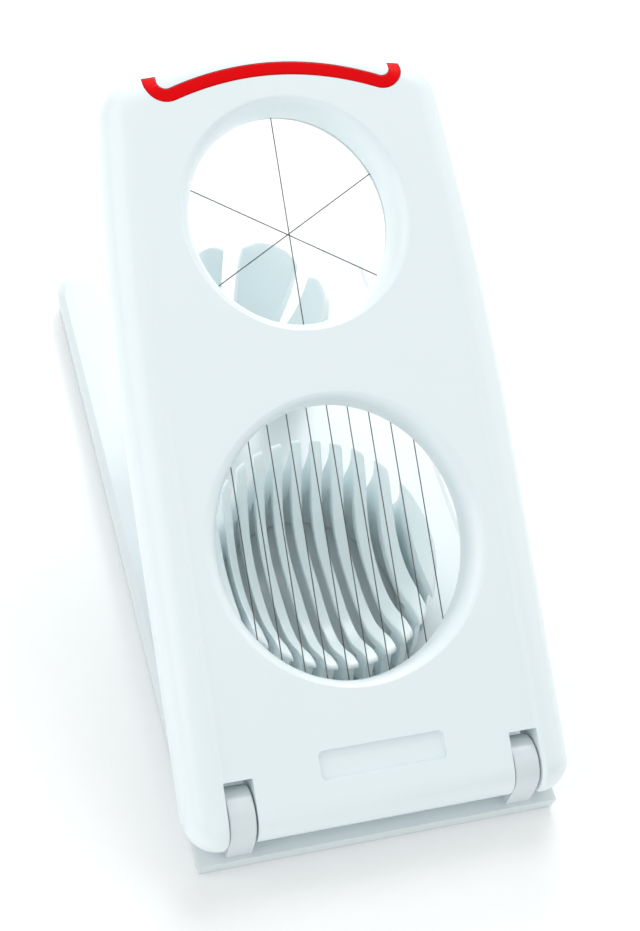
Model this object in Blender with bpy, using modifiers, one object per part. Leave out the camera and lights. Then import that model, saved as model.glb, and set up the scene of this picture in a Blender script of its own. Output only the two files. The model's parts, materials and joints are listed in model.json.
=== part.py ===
"""Two-way egg slicer: a base with a slotted slicing cradle and a petalled wedge cup, and a hinged wire lid.

Metres, +Z up. X runs across, +Y runs from the hinge to the free end, and the origin is the middle of the
footprint. The lid is modelled standing open at LID_OPEN_DEG; it closes by turning back about the hinge pins.
"""
import math

import bmesh
import bpy
import numpy as np
from mathutils import Matrix, Vector

# ---------------------------------------------------------------- driving dimensions
BASE_LENGTH = 0.1802        # front edge to the far edge, at the middle
BASE_BOW = 0.0072           # how far the far edge bows out in the middle
BASE_HALF_WIDTH = 0.0438    # half of the deck's width
DECK_Z = 0.0073             # height of the deck
LEDGE_Z = 0.0036            # height of the low ledge under the hinge barrel
BASE_WALL = 0.0020          # wall of the base shell
BASE_FLOOR = 0.0013         # floor under the cradle and the cup

HINGE_INSET = 0.0078        # front edge to the hinge axis
HINGE_Z = 0.0113            # height of the hinge axis
BARREL_RADIUS = 0.0075      # lid barrel, level with the top of the panel
EAR_RADIUS = 0.0070         # upright ears of the base
EAR_CENTRE = 0.0339         # middle of an ear, across
EAR_WIDTH = 0.0061
PIN_RADIUS = 0.0015
PIN_LENGTH = 0.0140

LID_LENGTH = 0.1767         # hinge axis to the far edge of the lid
LID_HALF_WIDTH = 0.0460     # half width beside the slicing opening
LID_FAR_HALF_WIDTH = 0.0416
LID_SKIRT = 0.0034          # how far the skirt hangs below the hinge axis
LID_WALL = 0.0022
LID_OPEN_DEG = 28.2         # opening angle of the modelled pose

SLICE_CENTRE = 0.0570       # along the lid, hinge axis to the middle of the slicing opening
SLICE_HALF = (0.0300, 0.0321)
WEDGE_CENTRE = 0.1306       # along the lid, hinge axis to where the wedge wires cross
WEDGE_OFFSET = 0.0027       # the wedge opening is set this far beyond the crossing
WEDGE_HALF = (0.0243, 0.0255)
WIRE_DIAMETER = 0.00045
WIRE_PITCH = 0.0050
WIRE_COUNT = 10
WIRE_DROP = 0.00215         # wires below the hinge axis, in the closed pose
WIRE_STEP = 0.00055         # height between the wedge wires where they cross

CRADLE_CENTRE = 0.0566      # along the lid direction, hinge axis to the middle of the cradle
CRADLE_RADIUS = 0.0286      # across; along the length it is stretched
CRADLE_STRETCH = 1.062
CRADLE_TOP = 0.0299         # top of the far fingers
CRADLE_DROP = 0.0100        # how far the rim is lower at the hinge side than at the far side
BOWL_Z = 0.0098             # lowest point of the bowl and of the cup, just above the closed wires
RIB_DEPTH = 0.0025          # depth of the ribs under the bowl's surface
CRADLE_RING = 0.0224        # inside radius of the ring wall the ribs spring from
CRADLE_PLUG = 0.0247        # outside radius of the ring where it enters the deck
SLOT_WIDTH = 0.0023
CUP_RADIUS = 0.0208
CUP_TOP = 0.0330
CUP_SLOT = 0.0038           # petals apart at the foot; wider at the top
PETAL_DIP = 0.16            # share of the petal's height lost at its corners
STRIPE_WIDTH = 0.0030

# ---------------------------------------------------------------- fits and clearances
GAP = 0.0003                # between pieces that rest on or in one another
HINGE_GAP = 0.00035         # side play between the ears and the lid
WIRE_GAP = 0.000125         # a wire to the rim above it and to the clamp ring below
WIRE_TAIL = 0.0030          # length of wire held beyond the edge of an opening
RING_THICKNESS = 0.0005

HINGE_Y = -BASE_LENGTH / 2 + HINGE_INSET
FRONT_Y = -BASE_LENGTH / 2
OPEN = math.radians(LID_OPEN_DEG)


# ---------------------------------------------------------------- small helpers
def collection(name):
    """Make a collection under the scene."""
    made = bpy.data.collections.new(name)
    bpy.context.scene.collection.children.link(made)
    return made


def plastic(name, colour, roughness, metallic=0.0):
    """Make a Principled BSDF material."""
    mat = bpy.data.materials.new(name)
    mat.use_nodes = True
    shader = mat.node_tree.nodes["Principled BSDF"]
    shader.inputs["Base Color"].default_value = (*colour, 1.0)
    shader.inputs["Roughness"].default_value = roughness
    shader.inputs["Metallic"].default_value = metallic
    mat.diffuse_color = (*colour, 1.0)
    return mat


def add_mesh(name, verts, faces, where, mat=None):
    """Make a mesh object with its faces turned outwards."""
    mesh = bpy.data.meshes.new(name)
    mesh.from_pydata([tuple(v) for v in verts], [], faces)
    bm = bmesh.new()
    bm.from_mesh(mesh)
    bmesh.ops.recalc_face_normals(bm, faces=bm.faces)
    bm.to_mesh(mesh)
    bm.free()
    obj = bpy.data.objects.new(name, mesh)
    where.objects.link(obj)
    if mat is not None:
        mesh.materials.append(mat)
    return obj


def loft(name, rings, where, mat=None):
    """Skin closed rings that all have the same number of points, and cap both ends."""
    count = len(rings[0])
    verts = [p for ring in rings for p in ring]
    faces = []
    for k in range(len(rings) - 1):
        low, high = k * count, (k + 1) * count
        for i in range(count):
            j = (i + 1) % count
            faces.append((low + i, low + j, high + j, high + i))
    faces.append(tuple(range(count - 1, -1, -1)))
    faces.append(tuple(range((len(rings) - 1) * count, len(rings) * count)))
    return add_mesh(name, verts, faces, where, mat)


def turned(name, profile, steps, where, mat=None):
    """Turn an (r, z) profile about Z with a Screw modifier."""
    mesh = bpy.data.meshes.new(name)
    mesh.from_pydata([(r, 0.0, z) for r, z in profile], [(i, i + 1) for i in range(len(profile) - 1)], [])
    obj = bpy.data.objects.new(name, mesh)
    where.objects.link(obj)
    screw = obj.modifiers.new("Turn", "SCREW")
    screw.axis = "Z"
    screw.steps = steps
    screw.render_steps = steps
    screw.use_merge_vertices = True
    screw.merge_threshold = 0.00002
    if mat is not None:
        mesh.materials.append(mat)
    return obj


def block(name, low, high, where):
    """A box between two corners."""
    bpy.ops.mesh.primitive_cube_add(size=1.0)
    obj = bpy.context.object
    obj.name = name
    for v in obj.data.vertices:
        v.co = Vector([low[i] + (v.co[i] + 0.5) * (high[i] - low[i]) for i in range(3)])
    move_to(obj, where)
    return obj


def rod(name, radius, low_x, high_x, where, sides=32):
    """A cylinder along X through the object's own origin line."""
    bpy.ops.mesh.primitive_cylinder_add(vertices=sides, radius=radius, depth=high_x - low_x)
    obj = bpy.context.object
    obj.name = name
    obj.data.transform(Matrix.Rotation(math.pi / 2, 4, "Y"))
    obj.data.transform(Matrix.Translation(((low_x + high_x) / 2, 0, 0)))
    move_to(obj, where)
    return obj


def move_to(obj, where):
    """Keep an object in one collection only."""
    for old in list(obj.users_collection):
        old.objects.unlink(obj)
    where.objects.link(obj)


def cut(target, tool, operation="DIFFERENCE"):
    """Cut or join target with tool, and keep tool as a hidden guide."""
    mod = target.modifiers.new(operation.title() + " " + tool.name, "BOOLEAN")
    mod.operation = operation
    mod.solver = "EXACT"
    mod.object = tool
    tool.hide_render = True
    tool.display_type = "WIRE"


def finish(obj, mat, angle=35.0):
    """Give the piece its material and smooth its round faces."""
    obj.data.materials.clear()
    obj.data.materials.append(mat)
    obj.data.shade_smooth()
    if len(obj.data.polygons):
        obj.data.set_sharp_from_angle(angle=math.radians(angle))


def ellipse_ring(half_x, half_y, centre, height, count):
    """A closed ring of points."""
    ring = []
    for i in range(count):
        a = 2 * math.pi * i / count
        ring.append(Vector((half_x * math.cos(a), centre + half_y * math.sin(a), height)))
    return ring


# ---------------------------------------------------------------- plan outlines
def base_half(_y):
    """Half width of the base along its length."""
    return BASE_HALF_WIDTH


def lid_half(s):
    """Half width of the lid: full beside the slicing opening and slimmer at the far end."""
    u = min(max((s - 0.45 * LID_LENGTH) / (0.55 * LID_LENGTH), 0.0), 1.0)
    return LID_HALF_WIDTH - (LID_HALF_WIDTH - LID_FAR_HALF_WIDTH) * u * u


def outline(half, near, far, bow, corner, inset, near_inset=0.0):
    """Plan outline, anticlockwise: square near end, straight sides, round far corners, bowed far edge."""
    wide = half(far)
    cx = wide - corner
    slope = 2 * bow * cx / (wide * wide)
    turn = math.atan(slope)
    radius = max(corner - inset, 0.0006)

    def bowed(x):
        return -bow * (x / wide) ** 2

    edge_x = cx + corner * math.sin(turn)
    cy = far + bowed(edge_x) - corner * math.cos(turn)
    start = near + near_inset
    right = []
    for i in range(9):
        y = start + (cy - start) * i / 8
        right.append((half(y) - inset - (half(cy) - wide) * (i / 8) ** 4, y))
    for i in range(1, 8):
        a = (math.pi / 2 - turn) * i / 7
        right.append((cx + radius * math.cos(a), cy + radius * math.sin(a)))
    end_x, end_y = right[-1]
    for i in range(1, 6):
        x = end_x * (1 - i / 6)
        right.append((x, end_y + bowed(x) - bowed(end_x)))
    middle = (0.0, end_y - bowed(end_x))
    left = [(-x, y) for x, y in reversed(right)]
    return right + [middle] + left


LID_BOW = 0.0098
LID_CORNER = 0.0100
LID_EDGE = (                # distance in from the outline, height above the hinge axis
    (0.0, -LID_SKIRT), (0.0, -0.0002), (0.00025, 0.0018), (0.0009, 0.0036), (0.0020, 0.0051),
    (0.0036, 0.0063), (0.0056, 0.0071), (0.0078, BARREL_RADIUS),
)


def lid_outline(inset, near=0.0):
    """Plan outline of the lid."""
    return outline(lid_half, near, LID_LENGTH, LID_BOW, LID_CORNER, inset)


def lid_surface(x, s):
    """Height of the lid's top above the hinge axis."""
    ring = lid_outline(0.0)
    dist = 1.0
    for (ax, ay), (bx, by) in zip(ring, ring[1:]):
        ex, ey = bx - ax, by - ay
        span = ex * ex + ey * ey
        k = min(max(((x - ax) * ex + (s - ay) * ey) / span, 0.0), 1.0)
        dist = min(dist, math.hypot(x - ax - k * ex, s - ay - k * ey))
    steps = LID_EDGE[1:]
    return float(np.interp(dist, [d for d, _ in steps], [t for _, t in steps]))


# ---------------------------------------------------------------- the base
def build_base(parts, cutters, white):
    """Flat hollow base with a low ledge, two ears and two wells."""
    def ring(inset, z):
        return [Vector((x, y, z)) for x, y in outline(
            base_half, FRONT_Y, -FRONT_Y, BASE_BOW, 0.0090, inset, near_inset=inset)]

    rings = [ring(0.0009, 0.0), ring(0.0004, 0.0030), ring(0.0, 0.0056), ring(0.0002, 0.0066),
             ring(0.0009, DECK_Z)]
    base = loft("base_tray", rings, parts)
    trench = block("cut_hinge_trench", (-0.08, FRONT_Y - 0.01, LEDGE_Z), (0.08, HINGE_Y + 0.0082, 0.05), cutters)
    cut(base, trench)
    for side in (-1, 1):
        mid = side * EAR_CENTRE
        name = "left" if side < 0 else "right"
        foot = block("add_ear_foot_" + name,
                     (mid - EAR_WIDTH / 2, HINGE_Y - EAR_RADIUS, 0.0005),
                     (mid + EAR_WIDTH / 2, HINGE_Y + EAR_RADIUS, HINGE_Z), cutters)
        cut(base, foot, "UNION")
        head = rod("add_ear_head_" + name, EAR_RADIUS, mid - EAR_WIDTH / 2, mid + EAR_WIDTH / 2, cutters, 48)
        head.location = (0, HINGE_Y, HINGE_Z)
        cut(base, head, "UNION")
    bore = rod("cut_ear_bore", PIN_RADIUS + GAP, -0.06, 0.06, cutters, 24)
    bore.location = (0, HINGE_Y, HINGE_Z)
    cut(base, bore)

    def hollow_ring(inset, z):
        return [Vector((x, y, z)) for x, y in outline(
            base_half, HINGE_Y + 0.0082 + BASE_WALL, -FRONT_Y, BASE_BOW, 0.0090, inset)]

    hollow = loft("cut_base_hollow", [
        hollow_ring(BASE_WALL + 0.0009, -0.001),
        hollow_ring(BASE_WALL + 0.0004, DECK_Z - BASE_WALL)], cutters)
    wells = (("cradle", CRADLE_CENTRE, CRADLE_PLUG, CRADLE_STRETCH),
             ("cup", WEDGE_CENTRE, CUP_RADIUS - 0.0060, 1.0))
    for name, along, radius, stretch in wells:
        keep = loft("keep_wall_" + name, [
            ellipse_ring(radius + GAP + 0.0018, (radius + GAP) * stretch + 0.0018, HINGE_Y + along, z, 48)
            for z in (-0.002, 0.02)], cutters)
        cut(hollow, keep)
    cut(base, hollow)
    for name, along, radius, stretch in wells:
        well = loft("cut_well_" + name, [
            ellipse_ring(radius + GAP, (radius + GAP) * stretch, HINGE_Y + along, z, 64)
            for z in (BASE_FLOOR, 0.03)], cutters)
        cut(base, well)
    finish(base, white)
    return base


BOWL_SHAPE = (              # the bowl's surface on its far side: share of the radius, share of the height
    (0.10, 0.000), (0.24, 0.020), (0.378, 0.068), (0.513, 0.190), (0.612, 0.318), (0.668, 0.425),
    (0.747, 0.605), (0.823, 0.798), (0.863, 0.876), (0.909, 0.952))


def tilted(height, along):
    """Height of a cradle point once the bowl is tipped towards the hinge."""
    lift = max(height - BOWL_Z, 0.0) / (CRADLE_TOP - BOWL_Z)
    reach = CRADLE_RADIUS * CRADLE_STRETCH
    return height - CRADLE_DROP * lift ** 0.6 * (1 - along / reach) / 2


def build_cradle(parts, cutters, white):
    """Round wall with bars that hang in it as a tipped bowl, with one slot for each slicing wire."""
    floor = BASE_FLOOR + GAP
    depth = CRADLE_TOP - BOWL_Z
    profile = [(r * CRADLE_RADIUS, BOWL_Z + h * depth) for r, h in BOWL_SHAPE]
    profile += [
        (CRADLE_RADIUS * 0.952, CRADLE_TOP), (CRADLE_RADIUS * 0.974, CRADLE_TOP - 0.0002),
        (CRADLE_RADIUS * 0.978, CRADLE_TOP - 0.0008), (CRADLE_RADIUS * 0.953, CRADLE_TOP - 0.0022),
        (CRADLE_RADIUS * 0.936, CRADLE_TOP - 0.0042), (CRADLE_RADIUS * 0.945, CRADLE_TOP - 0.0078),
        (CRADLE_RADIUS * 0.971, CRADLE_TOP - 0.0128), (CRADLE_RADIUS * 0.988, DECK_Z + GAP), (CRADLE_PLUG, DECK_Z + GAP), (CRADLE_PLUG, floor + 0.0010),
        (CRADLE_PLUG - 0.0008, floor), (CRADLE_RING, floor)]
    under = []
    for r, h in BOWL_SHAPE:
        slope = 2.2 * h ** 0.6
        lean = math.hypot(1.0, slope)
        out = (r * CRADLE_RADIUS + RIB_DEPTH * slope / lean, BOWL_Z + h * depth - RIB_DEPTH / lean)
        if out[0] < CRADLE_RING - 0.0006 and h < 0.7:
            under.append(out)
    last_r, last_z = under[-1]
    profile.append((CRADLE_RING, last_z + (CRADLE_RING - last_r) * 1.2))
    profile += under[::-1]
    rings = []
    for r, z in profile:
        rings.append([Vector((p.x, p.y, tilted(z, p.y) if z > DECK_Z + GAP else z))
                      for p in ellipse_ring(r, r * CRADLE_STRETCH, 0.0, z, 48)])
    cradle = loft("slicing_cradle", rings, parts, white)
    cradle.location = (0, HINGE_Y + CRADLE_CENTRE, 0)
    for i in range(WIRE_COUNT):
        x = (i - (WIRE_COUNT - 1) / 2) * WIRE_PITCH
        slot = block("cut_slot_%d" % (i + 1), (x - SLOT_WIDTH / 2, -0.05, DECK_Z - 0.0004),
                     (x + SLOT_WIDTH / 2, 0.05, 0.05), cutters)
        slot.location = (0, HINGE_Y + CRADLE_CENTRE, 0)
        cut(cradle, slot)
    finish(cradle, white)
    return cradle


def build_cup(parts, cutters, white):
    """Tulip-shaped cup cut into six petals by three crossing slots."""
    plug = CUP_RADIUS - 0.0060
    floor = BASE_FLOOR + GAP
    top = CUP_TOP
    reach = CUP_RADIUS
    high = CUP_TOP - BOWL_Z
    profile = [
        (reach * 0.08, BOWL_Z), (reach * 0.28, BOWL_Z + high * 0.02), (reach * 0.52, BOWL_Z + high * 0.09),
        (reach * 0.70, BOWL_Z + high * 0.22), (reach * 0.81, BOWL_Z + high * 0.42),
        (reach * 0.87, BOWL_Z + high * 0.68), (reach * 0.90, top - 0.0008), (reach * 0.92, top),
        (reach * 0.965, top), (reach * 0.99, top - 0.0010), (reach, top - 0.0050),
        (reach * 0.97, BOWL_Z + high * 0.45), (reach * 0.90, BOWL_Z + high * 0.18),
        (reach * 0.82, DECK_Z + GAP), (plug, DECK_Z + GAP), (plug, floor + 0.0008),
        (plug - 0.0008, floor), (reach * 0.08, floor)]
    rings = []
    for r, z in profile:
        ring = []
        for p in ellipse_ring(max(r, 0.0016), max(r, 0.0016), 0.0, z, 60):
            corner = (1 - math.cos(6 * math.atan2(p.y, p.x))) / 2
            rise = max(z - DECK_Z - GAP, 0.0)
            ring.append(Vector((p.x, p.y, z - PETAL_DIP * corner ** 2 * rise)))
        rings.append(ring)
    cup = loft("wedge_cup", rings, parts, white)
    cup.location = (0, HINGE_Y + WEDGE_CENTRE, 0)
    for i, turn in enumerate((90, 30, -30)):
        slot = block("cut_petal_slot_%d" % (i + 1), (-0.03, -CUP_SLOT / 2, DECK_Z - 0.0008),
                     (0.03, CUP_SLOT / 2, top + 0.001), cutters)
        for v in slot.data.vertices:
            if v.co.z > top:
                v.co.y *= 1.35
        slot.rotation_euler = (0, 0, math.radians(turn))
        slot.location = (0, HINGE_Y + WEDGE_CENTRE, 0)
        cut(cup, slot)
    finish(cup, white)
    return cup


# ---------------------------------------------------------------- the lid
def funnel(name, centre, half, flare, fillet_low, cutters):
    """Cutter for an opening: straight below, and flaring out in a fillet to the top of the panel."""
    rings = [ellipse_ring(half[0], half[1], centre, z, 64) for z in (-0.012, fillet_low)]
    top = BARREL_RADIUS
    for i in range(1, 7):
        a = math.radians(90 * i / 6)
        out = 1 - math.cos(a)
        z = fillet_low + (top - fillet_low) * math.sin(a)
        rings.append(ellipse_ring(half[0] + flare[0] * out, half[1] + flare[1] * out, centre, z, 64))
    rings.append(ellipse_ring(half[0] + flare[0] * 1.2, half[1] + flare[1] * 1.2, centre, top + 0.002, 64))
    return loft(name, rings, cutters)


def build_lid(parts, cutters, white, pivot):
    """Hollow lid with rounded rails, hinge barrel, two openings, and recesses for the trim."""
    rings = [[Vector((x, s, t)) for x, s in lid_outline(inset)] for inset, t in LID_EDGE]
    lid = loft("lid_frame", rings, parts)
    tools = []

    edge = [(r, LID_HALF_WIDTH - inset) for inset, r in LID_EDGE[2:]]
    barrel = turned("add_barrel", [(0.0, LID_HALF_WIDTH)] + edge + [(r, -x) for r, x in reversed(edge)]
                    + [(0.0, -LID_HALF_WIDTH)], 48, cutters)
    barrel.rotation_euler = (0, math.pi / 2, 0)
    cut(lid, barrel, "UNION")
    tools.append(barrel)

    for side in (-1, 1):
        mid = side * EAR_CENTRE
        half = EAR_WIDTH / 2 + HINGE_GAP
        name = "left" if side < 0 else "right"
        notch = block("cut_notch_" + name, (mid - half, -0.02, -0.02), (mid + half, EAR_RADIUS + 0.0006, 0.02), cutters)
        cut(lid, notch)
        tools.append(notch)
    bore = rod("cut_lid_bore", PIN_RADIUS + GAP, -EAR_CENTRE - PIN_LENGTH / 2 - GAP,
               -EAR_CENTRE + PIN_LENGTH / 2 + GAP, cutters, 24)
    bore_right = rod("cut_lid_bore_right", PIN_RADIUS + GAP, EAR_CENTRE - PIN_LENGTH / 2 - GAP,
                     EAR_CENTRE + PIN_LENGTH / 2 + GAP, cutters, 24)
    cut(lid, bore)
    cut(lid, bore_right)
    tools += [bore, bore_right]

    near = BARREL_RADIUS + LID_WALL
    hollow_rings = [(LID_WALL, -0.008), (LID_WALL, 0.0), (LID_WALL + 0.0006, 0.0016), (LID_WALL + 0.0020, 0.0036),
                    (LID_WALL + 0.0042, 0.0048), (0.0090, BARREL_RADIUS - LID_WALL)]
    hollow = loft("cut_lid_hollow", [
        [Vector((x, s, t)) for x, s in lid_outline(inset, near)] for inset, t in hollow_rings], cutters)
    wedge_mid = WEDGE_CENTRE + WEDGE_OFFSET
    for name, centre, half in (("slice", SLICE_CENTRE, SLICE_HALF), ("wedge", wedge_mid, WEDGE_HALF)):
        keep = loft("keep_collar_" + name, [
            ellipse_ring(half[0] + LID_WALL + 0.0004, half[1] + LID_WALL + 0.0004, centre, z, 64)
            for z in (-0.02, 0.02)], cutters)
        cut(hollow, keep)
        tools.append(keep)
    cut(lid, hollow)
    tools.append(hollow)

    openings = (("slice", SLICE_CENTRE, SLICE_HALF, (0.0040, 0.0019), 0.0018, 0.0),
                ("wedge", wedge_mid, WEDGE_HALF, (0.0040, 0.0028), 0.0006, WIRE_STEP))
    for name, centre, half, flare, low, stack in openings:
        tool = funnel("cut_opening_" + name, centre, half, flare, low, cutters)
        cut(lid, tool)
        tools.append(tool)
        rim = -(WIRE_DROP - stack - WIRE_DIAMETER / 2 - WIRE_GAP)
        relief = loft("cut_wire_relief_" + name, [
            ellipse_ring(half[0] + 0.0060, half[1] + 0.0060, centre, z, 64) for z in (-0.02, rim)], cutters)
        cut(lid, relief)
        tools.append(relief)

    groove = ribbon("cut_stripe_groove", 0.00065, 0.0020, 0.00015, cutters)
    cut(lid, groove)
    tools.append(groove)

    plaque = outline(lambda _y: 0.0150, 0.0046, 0.0103, 0.0, 0.0012, 0.0)
    recess = loft("cut_plaque", [[Vector((x, s, t)) for x, s in plaque]
                                 for t in (BARREL_RADIUS - 0.0006, 0.02)], cutters)
    cut(lid, recess)
    tools.append(recess)

    for obj in tools + [lid]:
        obj.parent = pivot
    finish(lid, white)
    return lid


def stripe_path():
    """Middle line of the accent stripe: a shallow smile with upturned ends."""
    turn = 0.0036
    rise = 0.0016
    span = LID_FAR_HALF_WIDTH - 0.0166
    crown = LID_LENGTH - 0.00885
    sag = 0.0046
    points = [(span * i / 9, crown - sag * (i / 9) ** 2) for i in range(10)]
    low_x, low_s = points[-1]
    lean = math.atan(2 * sag / span)
    for i in range(1, 7):
        a = -math.pi / 2 - lean + (math.pi / 2 + lean - 0.10) * i / 6
        points.append((low_x + turn * (math.sin(lean) + math.cos(a)), low_s + turn * (math.cos(lean) + math.sin(a))))
    points.append((points[-1][0], points[-1][1] + rise))
    left = [(-x, s) for x, s in reversed(points[1:])]
    return left + points


def ribbon(name, depth, proud, grow, where, mat=None):
    """A band along the stripe path that follows the top of the lid."""
    path = stripe_path()
    half = STRIPE_WIDTH / 2 + grow
    rings = []
    last = len(path) - 1
    for i, (x, s) in enumerate(path):
        ax, ay = path[max(i - 1, 0)]
        bx, by = path[min(i + 1, last)]
        along = Vector((bx - ax, by - ay)).normalized()
        across = Vector((-along.y, along.x))
        extra = along * (grow if i == last else (-grow if i == 0 else 0.0))
        corners = []
        for k, lift in ((-1, -depth), (1, -depth), (1, proud), (-1, proud)):
            px = x + across.x * half * k + extra.x
            ps = s + across.y * half * k + extra.y
            corners.append(Vector((px, ps, lid_surface(px, ps) + lift)))
        rings.append(corners)
    return loft(name, rings, where, mat)


def wire(name, start, end, parts, steel, pivot):
    """A straight stainless wire between two points of the lid."""
    curve = bpy.data.curves.new(name, "CURVE")
    curve.dimensions = "3D"
    curve.bevel_depth = WIRE_DIAMETER / 2
    curve.bevel_resolution = 2
    curve.use_fill_caps = True
    spline = curve.splines.new("POLY")
    spline.points.add(1)
    spline.points[0].co = (*start, 1.0)
    spline.points[1].co = (*end, 1.0)
    obj = bpy.data.objects.new(name, curve)
    parts.objects.link(obj)
    curve.materials.append(steel)
    obj.parent = pivot
    return obj


def build_wires(parts, steel, pivot):
    """Ten slicing wires side by side and three wedge wires that cross."""
    reach_x = SLICE_HALF[0] + WIRE_TAIL
    reach_y = SLICE_HALF[1] + WIRE_TAIL
    for i in range(WIRE_COUNT):
        x = (i - (WIRE_COUNT - 1) / 2) * WIRE_PITCH
        half = reach_y * math.sqrt(max(1 - (x / reach_x) ** 2, 0.04))
        wire("slice_wire_%02d" % (i + 1), (x, SLICE_CENTRE - half, -WIRE_DROP),
             (x, SLICE_CENTRE + half, -WIRE_DROP), parts, steel, pivot)
    a = WEDGE_HALF[0] + WIRE_TAIL
    b = WEDGE_HALF[1] + WIRE_TAIL
    for i, turn in enumerate((90, 30, -30)):
        c, s = math.cos(math.radians(turn)), math.sin(math.radians(turn))
        t = -WIRE_DROP + (1 - i) * WIRE_STEP
        ends = []
        for sign in (1, -1):
            p = (c / a) ** 2 + (s / b) ** 2
            q = -2 * sign * s * WEDGE_OFFSET / (b * b)
            r = (WEDGE_OFFSET / b) ** 2 - 1
            k = (-q + math.sqrt(q * q - 4 * p * r)) / (2 * p)
            ends.append((sign * k * c, WEDGE_CENTRE + sign * k * s, t))
        wire("wedge_wire_%d" % (i + 1), ends[1], ends[0], parts, steel, pivot)


def build_rings(parts, white, pivot):
    """Flat rings that clamp the wire ends from below."""
    rows = (("slice_clamp_ring", SLICE_CENTRE, SLICE_HALF, 0.0),
            ("wedge_clamp_ring", WEDGE_CENTRE + WEDGE_OFFSET, WEDGE_HALF, WIRE_STEP))
    for name, centre, half, stack in rows:
        top = -(WIRE_DROP + stack + WIRE_DIAMETER / 2 + WIRE_GAP)
        count = 64
        layers = []
        for grow, z in ((0.0005, top), (0.0041, top), (0.0041, top - RING_THICKNESS), (0.0005, top - RING_THICKNESS)):
            layers.append(ellipse_ring(half[0] + grow, half[1] + grow, centre, z, count))
        verts = [p for layer in layers for p in layer]
        faces = []
        for k in range(4):
            low, high = k * count, ((k + 1) % 4) * count
            for i in range(count):
                j = (i + 1) % count
                faces.append((low + i, low + j, high + j, high + i))
        ring = add_mesh(name, verts, faces, parts)
        ring.parent = pivot
        finish(ring, white)


def build_pins(parts, steel):
    """Two short hinge pins through the ears."""
    for side, name in ((-1, "hinge_pin_left"), (1, "hinge_pin_right")):
        mid = side * EAR_CENTRE
        pin = rod(name, PIN_RADIUS, mid - PIN_LENGTH / 2, mid + PIN_LENGTH / 2, parts, 24)
        pin.location = (0, HINGE_Y, HINGE_Z)
        finish(pin, steel)


def main():
    """Clear the scene and build every piece."""
    for obj in list(bpy.data.objects):
        bpy.data.objects.remove(obj, do_unlink=True)
    parts = collection("egg_slicer")
    cutters = collection("cutters")
    white = plastic("white_plastic", (0.84, 0.86, 0.86), 0.28)
    base_white = plastic("base_plastic", (0.84, 0.86, 0.86), 0.32)
    cradle_white = plastic("cradle_plastic", (0.82, 0.85, 0.86), 0.30)
    cup_white = plastic("cup_plastic", (0.82, 0.85, 0.86), 0.30)
    ring_white = plastic("ring_plastic", (0.80, 0.82, 0.82), 0.40)
    red = plastic("accent_red", (0.74, 0.005, 0.012), 0.30)
    steel = plastic("wire_steel", (0.62, 0.63, 0.64), 0.28, 1.0)
    pin_steel = plastic("pin_steel", (0.60, 0.61, 0.62), 0.35, 1.0)

    pivot = bpy.data.objects.new("lid_pivot", None)
    parts.objects.link(pivot)
    pivot.location = (0, HINGE_Y, HINGE_Z)
    pivot.rotation_euler = (OPEN, 0, 0)

    build_base(parts, cutters, base_white)
    build_cradle(parts, cutters, cradle_white)
    build_cup(parts, cutters, cup_white)
    build_pins(parts, pin_steel)
    build_lid(parts, cutters, white, pivot)
    stripe = ribbon("accent_stripe", 0.0005, 0.00012, 0.0, parts)
    stripe.parent = pivot
    finish(stripe, red)
    build_wires(parts, steel, pivot)
    build_rings(parts, ring_white, pivot)


main()
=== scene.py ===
"""Two-way egg slicer: the finished look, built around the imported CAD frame.

Metres. A lid piece is modelled flat, as (x across, s along the lid from the hinge axis, t above the
hinge axis), and is then swung open about the hinge pins.
"""
import json
import logging
import math
from contextlib import contextmanager
from dataclasses import dataclass
from enum import Enum
from typing import Any, Callable, Iterator, Sequence

import bpy
from mathutils import Matrix, Vector


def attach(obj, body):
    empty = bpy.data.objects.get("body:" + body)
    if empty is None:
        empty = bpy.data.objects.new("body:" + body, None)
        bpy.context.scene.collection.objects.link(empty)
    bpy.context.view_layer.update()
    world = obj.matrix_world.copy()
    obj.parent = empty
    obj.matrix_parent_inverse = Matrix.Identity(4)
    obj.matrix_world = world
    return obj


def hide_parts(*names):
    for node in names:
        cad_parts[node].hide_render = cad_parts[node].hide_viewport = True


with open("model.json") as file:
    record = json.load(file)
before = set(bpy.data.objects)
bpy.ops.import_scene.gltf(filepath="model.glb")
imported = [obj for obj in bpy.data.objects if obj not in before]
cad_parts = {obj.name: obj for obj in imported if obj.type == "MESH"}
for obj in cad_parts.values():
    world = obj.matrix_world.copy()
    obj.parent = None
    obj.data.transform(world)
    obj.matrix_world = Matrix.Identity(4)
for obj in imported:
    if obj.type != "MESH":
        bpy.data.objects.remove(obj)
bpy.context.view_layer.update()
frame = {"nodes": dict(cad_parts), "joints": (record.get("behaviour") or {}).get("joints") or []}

log = logging.getLogger("egg_slicer")
Colour = tuple[float, float, float]
Point2 = tuple[float, float]
Point3 = tuple[float, float, float]
MM = 0.001              # one millimetre
QUARTER = math.pi / 2   # a quarter turn
ROUND = 96              # sides of a round part


class Body(Enum):
    """The two halves that the hinge joins."""

    BASE = "base"
    LID = "lid"


class Slot(Enum):
    """Material slots of the record."""

    BASE = "base_plastic"
    LID = "lid_plastic"
    CRADLE = "cradle_plastic"
    CUP = "cup_plastic"
    RING = "ring_plastic"
    RED = "accent_red"
    WIRE = "wire_steel"
    PIN = "pin_steel"


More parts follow.
